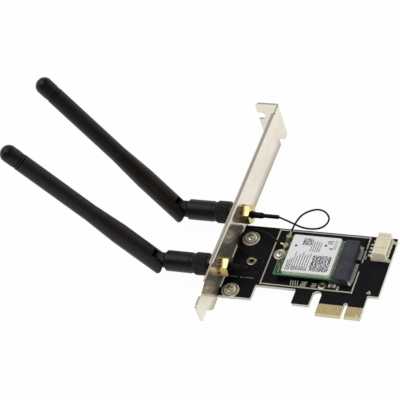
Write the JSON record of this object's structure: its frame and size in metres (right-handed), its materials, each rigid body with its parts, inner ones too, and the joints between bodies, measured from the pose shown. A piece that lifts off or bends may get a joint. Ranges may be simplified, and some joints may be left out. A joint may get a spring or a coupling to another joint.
{
  "type": "wireless card on a slot adapter board",
  "caption": "Wireless card on a black slot adapter board with a bent metal slot bracket, thin antenna leads, a cable header and hinged black antennas that tilt and swivel.",
  "frame": {"origin": "centre of the key notch on the contact edge, at mid board thickness", "axes": "+X along the contact edge away from the bracket, +Y from the contact edge up the bracket to the screw tab, +Z out of the component side"},
  "size_m": [0.155, 0.1201, 0.0843],
  "materials": {
    "nickel_plated_steel": "bright nickel plate on pressed sheet",
    "black_solder_mask": "black solder mask on glass-fibre board",
    "gold_plating": "thin gold plate",
    "tinned_copper": "tinned",
    "ceramic_chip": "sintered",
    "green_solder_mask": "green solder mask on glass-fibre board",
    "tinned_shield": "tinned sheet",
    "label_paper": "printed white label",
    "dark_grey_plastic": "moulded",
    "cream_nylon": "moulded",
    "black_jacket": "extruded",
    "black_antenna_plastic": "moulded, fine satin",
    "bare_brass": "turned"
  },
  "bodies": {
    "card": {"adapter_board": "black_solder_mask", "board_chips": "ceramic_chip", "bracket_screws": "nickel_plated_steel", "card_board": "green_solder_mask", "card_chips": "ceramic_chip", "card_label": "label_paper", "card_screw": "nickel_plated_steel", "card_shield_can": "tinned_shield", "card_standoff": "nickel_plated_steel", "edge_contacts_back": "gold_plating", "edge_contacts_front": "gold_plating", "header_anchors": "nickel_plated_steel", "header_housing": "cream_nylon", "header_pins": "tinned_copper", "lower_connector": "gold_plating", "lower_cord": "black_jacket", "lower_coupling_nut": "black_antenna_plastic", "lower_hex_nut": "gold_plating", "lower_jack": "gold_plating", "lower_lock_washer": "gold_plating", "lower_nut_insert": "bare_brass", "lower_plug": "gold_plating", "lower_sleeve": "black_jacket", "plated_rings": "tinned_copper", "slot_bracket": "nickel_plated_steel", "socket_hold_downs": "nickel_plated_steel", "socket_housing": "dark_grey_plastic", "socket_tails": "tinned_copper", "upper_connector": "gold_plating", "upper_cord": "black_jacket", "upper_coupling_nut": "black_antenna_plastic", "upper_hex_nut": "gold_plating", "upper_jack": "gold_plating", "upper_lock_washer": "gold_plating", "upper_nut_insert": "bare_brass", "upper_plug": "gold_plating", "upper_sleeve": "black_jacket"},
    "upper_base": {"upper_swivel_base": "black_antenna_plastic"},
    "upper_stalk": {"upper_stalk": "black_antenna_plastic", "upper_stalk_tip": "black_antenna_plastic", "upper_radiator": "bare_brass"},
    "lower_base": {"lower_swivel_base": "black_antenna_plastic"},
    "lower_stalk": {"lower_stalk": "black_antenna_plastic", "lower_stalk_tip": "black_antenna_plastic", "lower_radiator": "bare_brass"}
  },
  "joints": [
    {"name": "upper_swivel", "type": "hinge", "parent": "card", "child": "upper_base", "pos_m": [-0.074, 0.0472, 0.00628], "axis": [1, 0, 0], "range_deg": [-182.1, 9.9]},
    {"name": "upper_tilt", "type": "hinge", "parent": "upper_base", "child": "upper_stalk", "pos_m": [-0.09226, 0.0472, 0.00628], "axis": [0, 0.9977, -0.068], "range_deg": [-57, 33]},
    {"name": "lower_swivel", "type": "hinge", "parent": "card", "child": "lower_base", "pos_m": [-0.074, 0.0167, 0.00628], "axis": [1, 0, 0], "range_deg": [-10.6, 181.4]},
    {"name": "lower_tilt", "type": "hinge", "parent": "lower_base", "child": "lower_stalk", "pos_m": [-0.09226, 0.0167, 0.00628], "axis": [0, 0.9968, 0.0802], "range_deg": [-57, 33]}
  ]
}
